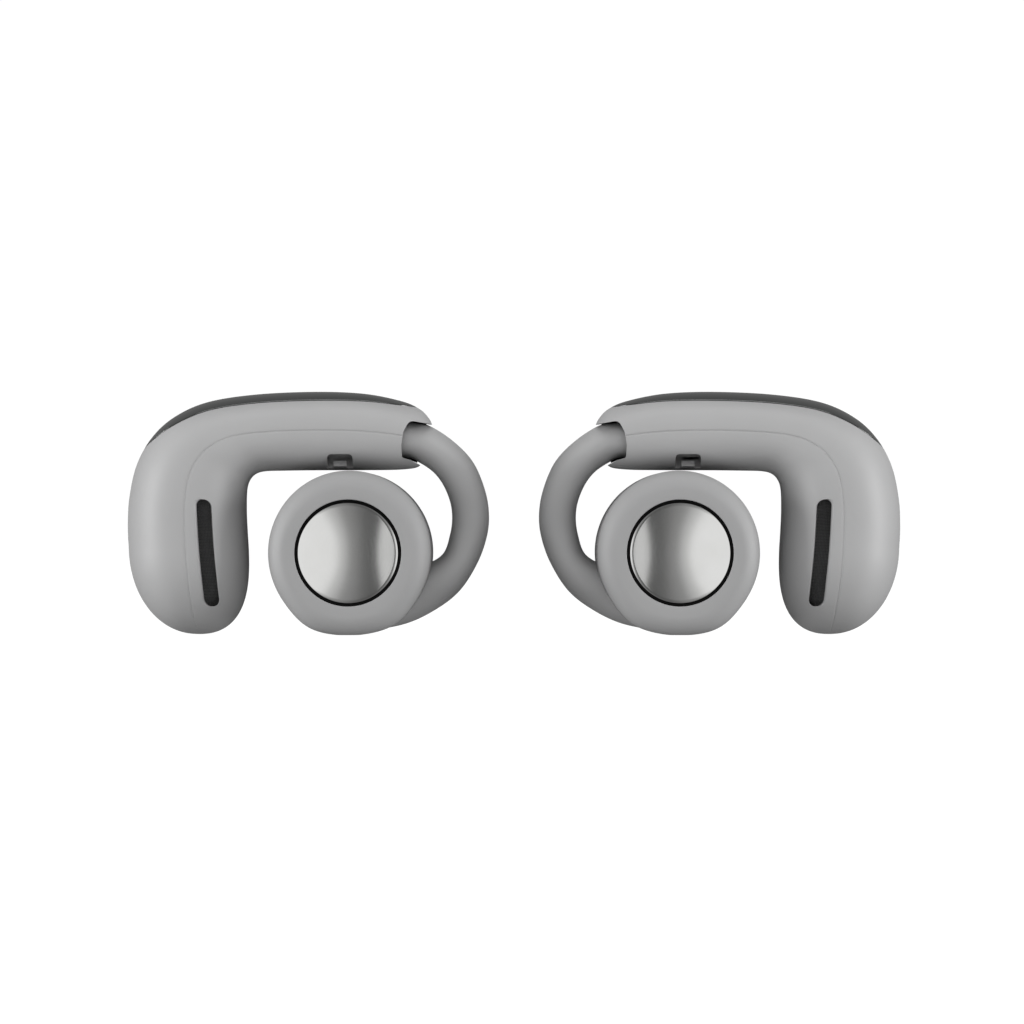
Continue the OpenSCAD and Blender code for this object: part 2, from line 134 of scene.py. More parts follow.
def pod_row(t):
    """The pod's section at station t. Past the last station the lobe closes as a blunt half ellipse."""
    if t <= POD_LAST:
        return along(POD, t)
    angle = TIP_ANGLE * min(t - POD_LAST, 1) ** (1 / TIP_POWER)
    outer, z, inner, _, depth = POD[-1]
    rise, width = math.sin(angle) ** TIP_POWER, math.cos(angle) ** TIP_POWER
    start = (outer + inner) / 2
    middle = start + (LOBE_TIP_X - start) * rise ** 1.5
    half = (outer - inner) / 2 * width
    return middle + half, z * (1 - rise), middle - half, z * (1 - rise), depth * width


def pod_point(t, angle, depth):
    """A point of the pod's skin, angle degrees round from the outer guide, sunk by depth."""
    ox, oz, ix, iz, half_depth = pod_row(t)
    half = math.hypot(ox - ix, oz - iz) / 2
    dx, dz = (ox - ix) / (2 * half), (oz - iz) / (2 * half)
    depth += SKIN
    sunk = max(half - depth, 0.3 * half)
    c = sunk * power(math.cos(math.radians(angle)), 2 / POD_SQUARE)
    s = max(half_depth - depth, 0.3 * half_depth) * power(math.sin(math.radians(angle)), 2 / POD_SQUARE)
    return (ox + ix) / 2 + dx * c, s, (oz + iz) / 2 + dz * c


def spread(low, high, count):
    return [low + (high - low) * i / count for i in range(count + 1)]


def eased(low, high, count):
    """Values from low to high that crowd towards both ends."""
    return [low + (high - low) * (0.5 - 0.5 * math.cos(math.pi * i / count)) for i in range(count + 1)]


# ---- mesh building ----

def crease(bm, angle):
    """Smooth shading with a crease wherever the surface turns by more than the angle."""
    limit = math.radians(angle)
    for f in bm.faces:
        f.smooth = True
    for e in bm.edges:
        e.smooth = len(e.link_faces) == 2 and e.calc_face_angle(0) < limit


def weld(bm):
    bmesh.ops.remove_doubles(bm, verts=bm.verts, dist=1e-4)
    bmesh.ops.dissolve_degenerate(bm, edges=bm.edges, dist=1e-5)


def finish_mesh(name, bm, side, smooth_angle=40):
    """Turns a bmesh in millimetres into an object of the given side, shaded smooth up to an angle."""
    sign = SIDES[side]
    for v in bm.verts:
        v.co = Vector((v.co.x * sign, v.co.y, v.co.z)) * MM
    bmesh.ops.recalc_face_normals(bm, faces=bm.faces)
    crease(bm, smooth_angle)
    mesh = bpy.data.meshes.new(name)
    bm.to_mesh(mesh)
    bm.free()
    obj = bpy.data.objects.new(f"{side}_{name}", mesh)
    bpy.context.scene.collection.objects.link(obj)
    return obj


def add_grid(bm, rows, closed=False, skip=None):
    """Adds a grid of quads from rows of points. skip(i, j) leaves a quad out."""
    verts = [[bm.verts.new(p) for p in row] for row in rows]
    width = len(rows[0])
    for i in range(len(rows) - 1):
        for j in range(width if closed else width - 1):
            k = (j + 1) % width
            if skip and skip(i, j):
                continue
            bm.faces.new((verts[i][j], verts[i + 1][j], verts[i + 1][k], verts[i][k]))


def close_loops(bm):
    """Welds what coincides and fills every open rim with a face."""
    weld(bm)
    rims = [e for e in bm.edges if len(e.link_faces) == 1]
    if rims:
        bmesh.ops.holes_fill(bm, edges=rims, sides=0)


def carve(obj, cutter):
    """Cuts the cutter's shape out of the object and throws the cutter away."""
    cut = obj.modifiers.new("cut", "BOOLEAN")
    cut.operation = "DIFFERENCE"
    cut.solver = "EXACT"
    cut.object = cutter
    apply_modifiers(obj)
    bpy.data.objects.remove(cutter)


def apply_modifiers(obj):
    graph = bpy.context.evaluated_depsgraph_get()
    mesh = bpy.data.meshes.new_from_object(obj.evaluated_get(graph))
    obj.modifiers.clear()
    obj.data = mesh


def shade(obj):
    """Shades a finished object anew after its cuts."""
    bm = bmesh.new()
    bm.from_mesh(obj.data)
    bmesh.ops.remove_doubles(bm, verts=bm.verts, dist=1e-7)
    crease(bm, 35)
    bm.to_mesh(obj.data)
    bm.free()


def soften(obj, width):
    """Rounds the object's sharp edges with a small bevel."""
    bevel = obj.modifiers.new("bevel", "BEVEL")
    bevel.width = width * MM
    bevel.segments = 2
    bevel.limit_method = "ANGLE"
    bevel.angle_limit = math.radians(50)
    bevel.use_clamp_overlap = True
    apply_modifiers(obj)


def prism(name, outline, y0, y1, side):
    """A prism along Y from an outline of x and z."""
    bm = bmesh.new()
    front = [bm.verts.new((x, y0, z)) for x, z in outline]
    back = [bm.verts.new((x, y1, z)) for x, z in outline]
    n = len(outline)
    bm.faces.new(front)
    bm.faces.new(back[::-1])
    for i in range(n):
        bm.faces.new((front[i], back[i], back[(i + 1) % n], front[(i + 1) % n]))
    return finish_mesh(name, bm, side)


def rounded(outline, radii, steps=6):
    """The outline with each corner replaced by an arc of its radius."""
    points = []
    n = len(outline)
    for i, (corner, radius) in enumerate(zip(outline, radii)):
        p = Vector(corner)
        to_last = (Vector(outline[i - 1]) - p).normalized()
        to_next = (Vector(outline[(i + 1) % n]) - p).normalized()
        if radius == 0:
            points.append(tuple(p))
            continue
        half = to_last.angle(to_next) / 2
        reach = radius / math.tan(half)
        start, end = p + to_last * reach, p + to_next * reach
        for k in range(steps + 1):
            u = k / steps
            points.append(tuple(start * (1 - u) ** 2 + p * 2 * u * (1 - u) + end * u ** 2))
    return points


def lathe(name, profile, side, steps=160, place_point=None):
    """Turns a profile of radius and y about the capsule's axis."""
    bm = bmesh.new()
    rows = []
    for r, y in profile:
        row = []
        for k in range(steps):
            a = 2 * math.pi * k / steps
            x, z = place_point(a, r, y) if place_point else (r * math.cos(a), r * math.sin(a))
            row.append((CAPSULE_X + x, y, CAPSULE_Z + z))
        rows.append(row)
    add_grid(bm, rows, closed=True)
    close_loops(bm)
    return finish_mesh(name, bm, side)


def arc(r, y, radius, start, end, steps=10):
    """Profile points on an arc round (r, y), angles in degrees from the outward direction."""
    return [
        (r + radius * math.cos(math.radians(a)), y + radius * math.sin(math.radians(a)))
        for a in spread(start, end, steps)
    ]


# ---- the pod ----

def oval_half(t, t0, t1, half):
    """Half the angle that an oval from station t0 to t1 takes at station t."""
    u = (t - t0) / (t1 - t0)
    return half * math.sqrt(max(1 - abs(2 * u - 1) ** 3, 0))


def shell_grids(rows_t, columns, wall, skip=None):
    """A closed shell: for each station, columns of the angle and depth outside and the angle inside."""
    bm = bmesh.new()
    outer = [[pod_point(t, a, d) for a, d, _ in columns(t)] for t in rows_t]
    inner = [[pod_point(t, inside, wall) for _, _, inside in columns(t)] for t in rows_t]
    add_grid(bm, outer, skip=skip)
    add_grid(bm, inner, skip=skip)
    width = len(outer[0])
    for j in (0, width - 1):
        add_grid(bm, [[row[j] for row in outer], [row[j] for row in inner]])
    for i in (0, len(rows_t) - 1):
        add_grid(bm, [outer[i], inner[i]])
    weld(bm)
    return bm


# The parting line's groove: degrees from the line, and depth
SEAM = [(0.0, 0.07), (0.45, 0.02), (1.0, 0.0)]


def outer_columns(t):
    half = max(oval_half(t, *COVER_T, COVER_HALF), 0.01)
    seated = COVER_T[0] < t < COVER_T[1]
    sink = COVER_THICK + COVER_SEAT_GAP if seated else 0
    lip = 0.05 if seated else 0
    side = [(90 - a, d) for a, d in SEAM]
    side += [(a, 0) for a in eased(88.5, half + 2.2, 26)]
    side += [(half + 1.1, 0), (half + 0.55, lip * 0.3), (half + 0.1, lip), (half, lip * 3), (half, sink)]
    side += [(half * share, sink) for share in (0.8, 0.5, 0.2)]
    columns = side + [(0, sink)] + [(-a, d) for a, d in reversed(side)]
    return [(a, d, a) for a, d in columns]


def make_outer_shell(side):
    t0, t1 = COVER_T
    rows_t = spread(0, t0 - 0.03, 22) + eased(t0, t1, 90)[1:-1] + spread(t1 + 0.03, POD_LAST, 40)
    rows_t += [POD_LAST + u for u in spread(0, 1, 26)[1:]]
    obj = finish_mesh("outer_shell_skin", shell_grids(rows_t, outer_columns, OUTER_WALL), side)
    carve(obj, hook_mouth(side))
    soften(obj, 0.06)
    shade(obj)
    return obj


MOUTH = [(10.4, 21.3), (10.98, 20.2), (11.2, 18.9), (11.15, 17.6), (10.3, 17.38)]
MOUTH_ROUND = [0.7, 0.6, 0.9, 0.3, 0.2]


def hook_mouth(side):
    outline = [(5, 20.4)] + MOUTH + [(5, 14.55)]
    return prism("mouth", rounded(outline, [0] + MOUTH_ROUND + [0]), -15, 15, side)


def make_gap_shade_backing(side):
    """A black piece round the hook's root, deep inside the bar's mouth, that backs the gap; its black is
    painted shade for the dark gap round the root.
    """
    outline = [(8.75, 21.0)] + MOUTH + [(9.7, 17.1)]
    return prism("gap_shade_backing", rounded(outline, [0] + MOUTH_ROUND + [0]), -0.8, 0.8, side)


def slot_place(x, z):
    """A point of the slot's middle line on the pod: its station, share across, half section and height."""
    low, high = 9.5, POD_LAST + 0.9
    for _ in range(40):
        t = (low + high) / 2
        ox, oz, ix, iz, _ = pod_row(t)
        line_z = iz + (oz - iz) * (x - ix) / (ox - ix)
        if line_z > z:
            low = t
        else:
            high = t
    ox, _, ix, _, _ = pod_row(t)
    return t, (x - (ox + ix) / 2) / ((ox - ix) / 2), (ox - ix) / 2, z


SLOT_STEPS = 48
# Columns of the inner shell between the parting line and the slot
FLAT_STEPS = 60
SLOT_ROWS = [slot_place(*along(SLOT_LINE, step)) for step in eased(0, len(SLOT_LINE) - 1, SLOT_STEPS)]
SLOT_TOP, SLOT_LOW = SLOT_LINE[0][1], SLOT_LINE[-1][1]


def angle_of(across):
    """The angle on the pod's front where the share across the section is the given one."""
    across = max(-0.999, min(across, -0.001))
    return 180 + math.degrees(math.acos(abs(across) ** (POD_SQUARE / 2)))


# The slot's rounded lip: how far out from its edge, and how deep
SLOT_LIP = [(0.3, 0), (0.18, 0.03), (0.07, 0.12), (0.01, 0.3), (0, INNER_WALL)]


def slot_columns(across, half_section, half_width, is_open):
    """Columns of angle and depth down each edge of the slot, whose walls run straight along Y."""
    middle = across * half_section
    lip = [(out, d if is_open else 0) for out, d in SLOT_LIP]
    inward = [(angle_of((middle - half_width - out * 0.4) / (half_section - d)), d) for out, d in lip]
    outward = [(angle_of((middle + half_width + out) / (half_section - d)), d) for out, d in reversed(lip)]
    return inward, outward


def inner_columns_for(t):
    """The inner shell's columns, with the sound slot's edges where the slot passes."""
    if SLOT_ROWS[0][0] <= t <= SLOT_ROWS[-1][0]:
        index = min(range(len(SLOT_ROWS)), key=lambda i: abs(SLOT_ROWS[i][0] - t))
        _, across, half_section, z = SLOT_ROWS[index]
        r = SLOT_W / 2
        from_end = min(SLOT_TOP - z, z - SLOT_LOW)
        width = r if from_end >= r else math.sqrt(max(r * r - (r - from_end) ** 2, 0))
        is_open = 0 < index < len(SLOT_ROWS) - 1
    else:
        _, across, half_section, _ = SLOT_ROWS[0] if t < SLOT_ROWS[0][0] else SLOT_ROWS[-1]
        width, is_open = 0, False
    inward, outward = slot_columns(across, half_section, max(width, 0.004), is_open)
    start, end = inward[0][0], outward[-1][0]
    foot_in, foot_out = inward[-1][0], outward[0][0]
    before = [(90 + a, d) for a, d in SEAM] + [(a, 0) for a in eased(91.5, start - 1, FLAT_STEPS)]
    after = [(a, 0) for a in spread(end + 0.8, 268.5, 5)] + [(270 - a, d) for a, d in reversed(SEAM)]
    columns = [(a, d, 90 + (a - 90) * (foot_in - 90) / (start - 90)) for a, d in before]
    columns += [(a, d, foot_in) for a, d in inward] + [(a, d, foot_out) for a, d in outward]
    columns += [(a, d, 270 - (270 - a) * (270 - foot_out) / (270 - end)) for a, d in after]
    return columns


def make_inner_shell(side):
    first, last = SLOT_ROWS[0][0], SLOT_ROWS[-1][0]
    rows_before = spread(0, first - 0.02, 100)
    rows_t = rows_before + [row[0] for row in SLOT_ROWS] + spread(last + 0.02, POD_LAST + 1, 24)
    slot_column = len(SEAM) + FLAT_STEPS + len(SLOT_LIP)
    slot_from = len(rows_before)

    def skip(i, j):
        return j == slot_column and slot_from < i < slot_from + SLOT_STEPS - 1

    bm = shell_grids(rows_t, inner_columns_for, INNER_WALL, skip)
    obj = finish_mesh("inner_shell_skin", bm, side)
    for cutter in microphone_cutters(side):
        carve(obj, cutter)
    carve(obj, hook_mouth(side))
    soften(obj, 0.05)
    shade(obj)
    return obj


MIC_X = 17.3
MIC_TOP = 17.95
POCKET_W = 2.55
POCKET_CORNER = 0.5
LUG_W = 1.3
LUG_TOP = 17.3
LUG_CORNER = 0.15
BELOW_BAR = 15
# Along Y: where the cuts start in front, the lug's face, and the pocket's back
CUT_FRONT = -9.5
LUG_FACE = -4.1
POCKET_BACK = -3.1


def microphone_cutters(side):
    """The two cuts of the microphone's pocket: its mouth, and the deeper arch that leaves a lug standing."""
    left, right = MIC_X - POCKET_W / 2, MIC_X + POCKET_W / 2
    lug_left, lug_right = MIC_X - LUG_W / 2, MIC_X + LUG_W / 2
    top_corners = [POCKET_CORNER, POCKET_CORNER, 0, 0]
    mouth = [(left, MIC_TOP), (right, MIC_TOP), (right, BELOW_BAR), (left, BELOW_BAR)]
    arch = [
        (left, MIC_TOP), (right, MIC_TOP), (right, BELOW_BAR), (lug_right, BELOW_BAR), (lug_right, LUG_TOP),
        (lug_left, LUG_TOP), (lug_left, BELOW_BAR), (left, BELOW_BAR),
    ]
    pocket = prism("pocket", rounded(mouth, top_corners), CUT_FRONT, LUG_FACE, side)
    deeper = rounded(arch, top_corners + [LUG_CORNER, LUG_CORNER, 0, 0])
    return pocket, prism("arch", deeper, CUT_FRONT, POCKET_BACK, side)


def make_microphone_boss(side):
    """The wall round the pocket inside the bar."""
    low, high, half = 17.45, 18.55, 1.7
    outline = [(MIC_X - half, high), (MIC_X + half, high), (MIC_X + half, low), (MIC_X - half, low)]
    boss = prism("microphone_boss", outline, -5.1, -2.4, side)
    for cutter in microphone_cutters(side):
        carve(boss, cutter)
    shade(boss)
    return boss


def make_cover(side):
    """The glossy cover: a thin domed plate with a rolled edge, set a hair inside its seat."""
    t0, t1 = COVER_T[0] + 0.035, COVER_T[1] - 0.03
    gap_angle = 0.9
    edge = [(1.0, 0.30), (0.998, 0.14), (0.99, 0.05), (0.975, 0.01), (0.95, 0)]
    bm = bmesh.new()
    rows_top, rows_low = [], []
    for t in eased(t0, t1, 96):
        half = max(oval_half(t, t0, t1, COVER_HALF - gap_angle), 0.02)
        shares = edge + [(s, 0) for s in spread(0.9, 0, 18)]
        shares += [(-s, d) for s, d in reversed(shares[:-1])]
        rows_top.append([pod_point(t, half * s, d) for s, d in shares])
        rows_low.append([pod_point(t, half * s, COVER_THICK) for s, d in shares])
    add_grid(bm, rows_top)
    add_grid(bm, rows_low)
    for j in (0, -1):
        add_grid(bm, [[row[j] for row in rows_top], [row[j] for row in rows_low]])
    for i in (0, -1):
        add_grid(bm, [rows_top[i], rows_low[i]])
    weld(bm)
    return finish_mesh("cover_plate", bm, side, 60)


def slot_x(z):
    """The slot's middle line at height z, straight between its points."""
    for (x0, z0), (x1, z1) in zip(SLOT_LINE, SLOT_LINE[1:]):
        if z >= z1:
            break
    return x0 + (x1 - x0) * (z - z0) / (z1 - z0)


def make_slot_mesh(side):
    """A woven mesh behind the sound slot, its rows spaced evenly by height."""
    past, half = 0.3, 0.95
    bm = bmesh.new()
    rows = []
    for z in spread(SLOT_TOP + past, SLOT_LOW - past, 76):
        t, across, half_section, _ = slot_place(slot_x(z), z)
        middle = across * half_section
        angles = [angle_of((middle + off) / (half_section - INNER_WALL)) for off in spread(-half, half, 13)]
        rows.append([pod_point(t, a, INNER_WALL + 0.1) for a in angles])
    add_grid(bm, rows)
    obj = finish_mesh("slot_mesh", bm, side)
    wire = obj.modifiers.new("weave", "WIREFRAME")
    wire.thickness = 0.09 * MM
    wire.use_replace = True
    wire.use_even_offset = False
    apply_modifiers(obj)
    shade(obj)
    return obj


# ---- the hook ----

WIRE_R = 0.45
CABLE_R = 0.35
STRAND_SHIFT = 0.75


def hook_ring(t, n, half_w=None, half_d=None, shift=0.0):
    ox, oz, ix, iz, y, depth = along(HOOK, t)
    length = math.hypot(ox - ix, oz - iz)
    dx, dz = (ox - ix) / length, (oz - iz) / length
    square = 2 if half_w else HOOK_SQUARE
    w = half_w or length / 2
    d = half_d or depth
    ring = []
    for j in range(n):
        a = 2 * math.pi * j / n
        c, s = w * power(math.cos(a), 2 / square), d * power(math.sin(a), 2 / square)
        ring.append(((ox + ix) / 2 + dx * c, y + shift + s, (oz + iz) / 2 + dz * c))
    return ring


def make_strand(name, side, radius, shift):
    """A round strand through the hook's bore, shifted along Y from its middle."""
    bm = bmesh.new()
    rings = [hook_ring(t, 16, half_w=radius, half_d=radius, shift=shift) for t in spread(0.1, 10.2, 110)]
    add_grid(bm, rings, closed=True)
    close_loops(bm)
    return finish_mesh(name, bm, side, 60)


def make_sleeve(side):
    """The hook's soft sleeve: one skin over both halves of the CAD's, with its bore."""
    bm = bmesh.new()
    stations = spread(1.05, 13, 150)
    outside = [hook_ring(t, 56) for t in stations]
    bore = [hook_ring(t, 56, half_w=0.75, half_d=1.5) for t in stations]
    add_grid(bm, outside, closed=True)
    add_grid(bm, bore, closed=True)
    for i in (0, -1):
        add_grid(bm, [outside[i], bore[i]], closed=True)
    bmesh.ops.remove_doubles(bm, verts=bm.verts, dist=1e-4)
    return finish_mesh("hook_sleeve", bm, side, 60)


# ---- the capsule ----

CAPSULE_WALL = 1.1
BACK_ROUND = 3
FACE_R = 6.3
CONTACT_SHIFT = 2.2
HOLE_R = 0.88
# Where the foot's two corners lie round the axis, and how wide each is, in degrees
FOOT_AT = (237, 299)
FOOT_WIDTH = 16
FOOT_SWELL = 0.034


def circle_points(shift, r):
    """A circle round a point of the capsule's back face, beside the axis by shift."""
    angles = [2 * math.pi * k / 40 for k in range(40)]
    return [(CAPSULE_X + shift + r * math.cos(a), CAPSULE_Z + r * math.sin(a)) for a in angles]


def capsule_point(a, r, y):
    """The capsule is slimmer in front than behind, and its section is a little squarer towards its foot."""
    outer = min(max((r - 5.6) / 1.6, 0), 1)
    front = 1 - min(max((y - CAPSULE_FRONT) / 14, 0), 1)
    foot = sum(math.exp(-((a - math.radians(at)) / math.radians(FOOT_WIDTH)) ** 2) for at in FOOT_AT)
    swell = 1 + FOOT_SWELL * foot * outer
    x = r * math.cos(a) * swell * (1 - 0.018 * outer * front) - 0.1 * outer
    z = r * math.sin(a) * swell
    return x, max(z, SKIN - CAPSULE_Z)


def make_capsule(side):
    front, back, r = CAPSULE_FRONT, CAPSULE_BACK, CAPSULE_R
    profile = [(BORE_R, front + 2.2), (BORE_R, front + 0.08)]
    profile += arc(BORE_R + 0.08, front + 0.08, 0.08, 180, 270, 4)
    profile += [(5.9, front), (FACE_R, front)]
    for a in spread(0, 90, 18)[1:]:
        out = math.sin(math.radians(a)) ** 0.9
        down = (1 - math.cos(math.radians(a))) ** 0.85
        profile.append((FACE_R + (r - FACE_R) * out, front + 1.9 * down))
    profile += [(r, y) for y in spread(front + 2.6, back - 3.4, 16)]
    profile += arc(r - BACK_ROUND, back - BACK_ROUND, BACK_ROUND, 0, 90, 14)
    profile += [(3.4, back), (0.001, back)]
    inside = [(0.001, back - CAPSULE_WALL), (r - BACK_ROUND, back - CAPSULE_WALL)]
    inside += [(r - CAPSULE_WALL, back - BACK_ROUND), (r - CAPSULE_WALL, front + 2.2)]
    obj = lathe("capsule_housing", profile + inside + [profile[0]], side, place_point=capsule_point)
    for shift in (-CONTACT_SHIFT, CONTACT_SHIFT):
        carve(obj, prism("hole", circle_points(shift, HOLE_R), back - 3, back + 1, side))
    shade(obj)
    return obj


def make_button(side):
    """A polished disc, very slightly domed, with a small round to its rim and a flange that holds it in."""
    front = CAPSULE_FRONT + 0.14
    dome_r = 250.0
    rim = 0.1
    profile = [(0.001, front)] + [(r, front + r * r / (2 * dome_r)) for r in spread(0.3, BUTTON_R - rim, 16)]
    rim_y = profile[-1][1]
    profile += [(r, rim_y + rim + y) for r, y in arc(BUTTON_R - rim, 0, rim, -80, 0, 6)]
    profile += [(BUTTON_R, front + 2.1), (FLANGE_R - 0.05, front + 2.13), (FLANGE_R, front + 2.2)]
    profile += [(FLANGE_R, front + 2.48), (0.001, front + 2.5)]
    return lathe("button_cap", profile, side, steps=200)


def make_seal(side):
    front = CAPSULE_FRONT + 0.08
    inner, outer = BUTTON_R + 0.05, BORE_R - 0.01
    profile = [(inner, front + 2.05), (inner, front + 0.05), (inner + 0.04, front), (outer - 0.04, front)]
    profile += [(outer, front + 0.05), (outer, front + 2.05), (inner, front + 2.05)]
    return lathe("button_ring", profile, side)


def make_contacts(side):
    """Two pads with a flange inside, each turned from a profile of radius and y."""
    profile = [
        (0.001, 10.94), (0.6, 10.94), (0.72, 10.92), (0.8, 10.84),
        (0.8, 9.9), (1.2, 9.86), (1.2, 9.5), (0.001, 9.5),
    ]
    bm = bmesh.new()
    for shift in (-CONTACT_SHIFT, CONTACT_SHIFT):
        add_grid(bm, [[(x, y, z) for x, z in circle_points(shift, r)] for r, y in profile], closed=True)
    close_loops(bm)
    return finish_mesh("contact_pads", bm, side)


# ---- materials ----

def nodes_of(name):
    mat = bpy.data.materials.new(name)
    mat.use_nodes = True
    tree = mat.node_tree
    return mat, tree, tree.nodes["Principled BSDF"]


def noise(tree, coords, scale, detail=3.0):
    node = tree.nodes.new("ShaderNodeTexNoise")
    node.inputs["Scale"].default_value = scale
    node.inputs["Detail"].default_value = detail
    tree.links.new(coords, node.inputs["Vector"])
    return node.outputs["Fac"]


def ramp(tree, value, low, high, start=0.3, end=0.7):
    node = tree.nodes.new("ShaderNodeMapRange")
    node.inputs["From Min"].default_value = start
    node.inputs["From Max"].default_value = end
    node.inputs["To Min"].default_value = low
    node.inputs["To Max"].default_value = high
    tree.links.new(value, node.inputs["Value"])
    return node.outputs["Result"]


def mix_colours(tree, factor, first, second):
    node = tree.nodes.new("ShaderNodeMix")
    node.data_type = "RGBA"
    tree.links.new(factor, node.inputs["Factor"])
    node.inputs[6].default_value = (*first, 1)
    node.inputs[7].default_value = (*second, 1)
    return node.outputs[2]


def bump(tree, shader, height, strength, distance):
    node = tree.nodes.new("ShaderNodeBump")
    node.inputs["Strength"].default_value = strength
    node.inputs["Distance"].default_value = distance * MM
    tree.links.new(height, node.inputs["Height"])
    tree.links.new(node.outputs["Normal"], shader.inputs["Normal"])


GRAIN_DEPTH = 0.006


def surface(name, colour, rough, metal=0.0, vary=0.05, grain=5000, grain_strength=0.35,
            specular=0.5, coat=0.0, coat_rough=0.1):
    """A moulded or metal surface: mottled colour, uneven roughness and a fine grain."""
    mat, tree, shader = nodes_of(name)
    coords = tree.nodes.new("ShaderNodeTexCoord").outputs["Object"]
    cloud = noise(tree, coords, 180, 4)
    fine = noise(tree, coords, grain, 2)
    darker = tuple(c * (1 - vary) for c in colour)
    lighter = tuple(min(c * (1 + vary), 1) for c in colour)
    tree.links.new(mix_colours(tree, ramp(tree, cloud, 0, 1), darker, lighter), shader.inputs["Base Color"])
    tree.links.new(ramp(tree, fine, rough * 0.93, min(rough * 1.07, 1)), shader.inputs["Roughness"])
    shader.inputs["Metallic"].default_value = metal
    shader.inputs["Specular IOR Level"].default_value = specular
    shader.inputs["Coat Weight"].default_value = coat
    shader.inputs["Coat Roughness"].default_value = coat_rough
    bump(tree, shader, fine, grain_strength, GRAIN_DEPTH)
    return mat


def spun_metal(name, centre):
    """Polished metal with the faint rings of a lathe."""
    mat, tree, shader = nodes_of(name)
    coords = tree.nodes.new("ShaderNodeTexCoord").outputs["Object"]
    shift = tree.nodes.new("ShaderNodeVectorMath")
    shift.operation = "SUBTRACT"
    shift.inputs[1].default_value = centre
    tree.links.new(coords, shift.inputs[0])
    flat = tree.nodes.new("ShaderNodeVectorMath")
    flat.operation = "MULTIPLY"
    flat.inputs[1].default_value = (1, 0, 1)
    tree.links.new(shift.outputs[0], flat.inputs[0])
    length = tree.nodes.new("ShaderNodeVectorMath")
    length.operation = "LENGTH"
    tree.links.new(flat.outputs[0], length.inputs[0])
    radius = tree.nodes.new("ShaderNodeCombineXYZ")
    tree.links.new(length.outputs["Value"], radius.inputs["X"])
    rings = noise(tree, radius.outputs[0], 9000, 2)
    cloud = noise(tree, coords, 300, 3)
    tree.links.new(ramp(tree, rings, 0.035, 0.06), shader.inputs["Roughness"])
    colour = mix_colours(tree, ramp(tree, cloud, 0, 1), (0.86, 0.86, 0.845), (0.90, 0.90, 0.89))
    tree.links.new(colour, shader.inputs["Base Color"])
    shader.inputs["Metallic"].default_value = 1.0
    bump(tree, shader, rings, 0.02, 0.0005)
    return mat


def board(name):
    """Green solder mask with a pattern of tracks."""
    mat, tree, shader = nodes_of(name)
    coords = tree.nodes.new("ShaderNodeTexCoord").outputs["Object"]
    cells = tree.nodes.new("ShaderNodeTexVoronoi")
    cells.feature = "DISTANCE_TO_EDGE"
    cells.inputs["Scale"].default_value = 900
    tree.links.new(coords, cells.inputs["Vector"])
    track = ramp(tree, cells.outputs["Distance"], 1, 0, 0.02, 0.06)
    green = mix_colours(tree, track, (0.01, 0.10, 0.04), (0.05, 0.24, 0.09))
    tree.links.new(green, shader.inputs["Base Color"])
    shader.inputs["Roughness"].default_value = 0.35
    bump(tree, shader, track, 0.3, 0.02)
    return mat


POD_GREY = (0.37, 0.37, 0.372)
MATERIALS = {
    "pod_plastic": surface("soft_touch_plastic", POD_GREY, 0.52, vary=0.015, specular=0.35),
    "capsule_plastic": surface("capsule_soft_touch", (0.315, 0.315, 0.317), 0.55, vary=0.015, specular=0.35),
    "hook_silicone": surface("silicone", (0.36, 0.36, 0.362), 0.62, vary=0.02, grain=3500, specular=0.3),
    "gloss_cover": surface("glossy_cover", (0.032, 0.034, 0.033), 0.12, vary=0.04, grain_strength=0.02,
                           specular=0.6, coat=1.0, coat_rough=0.03),
    "dark_mesh": surface("dark_mesh", (0.12, 0.12, 0.122), 0.5, metal=0.4, vary=0.1),
    "black_rubber": surface("black_rubber", (0.003, 0.003, 0.003), 0.8, vary=0.1, specular=0.06),
    "dark_plastic": surface("dark_plastic", (0.06, 0.06, 0.062), 0.55),
    "bright_steel": surface("bright_steel", (0.6, 0.6, 0.62), 0.3, metal=1.0, grain=8000),
    "magnet_plate": surface("nickel_plate", (0.45, 0.45, 0.46), 0.25, metal=1.0),
    "circuit_board": board("circuit_board"),
    "contact_gold": surface(
        "contact_gold", (0.83, 0.60, 0.24), 0.22, metal=1.0, grain=9000, grain_strength=0.1
    ),
    "film": surface("film", (0.75, 0.75, 0.72), 0.25),
    "copper": surface("copper_winding", (0.72, 0.33, 0.14), 0.35, metal=1.0, grain=9000),
    "cell_wrap": surface("cell_wrap", (0.08, 0.17, 0.34), 0.3, coat=0.5),
}
NODE_SLOT = {entry["node"]: entry["material_slot"] for entry in frame["record"]["subparts"]}


def place(obj, side, body, slot, *nodes, material=None):
    obj.data.materials.clear()
    obj.data.materials.append(material or MATERIALS[slot])
    if body:
        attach(obj, f"{side}_{body}")
    if nodes:
        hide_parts(*[f"{side}_{node}" for node in nodes])


# ---- the pieces of both sides ----

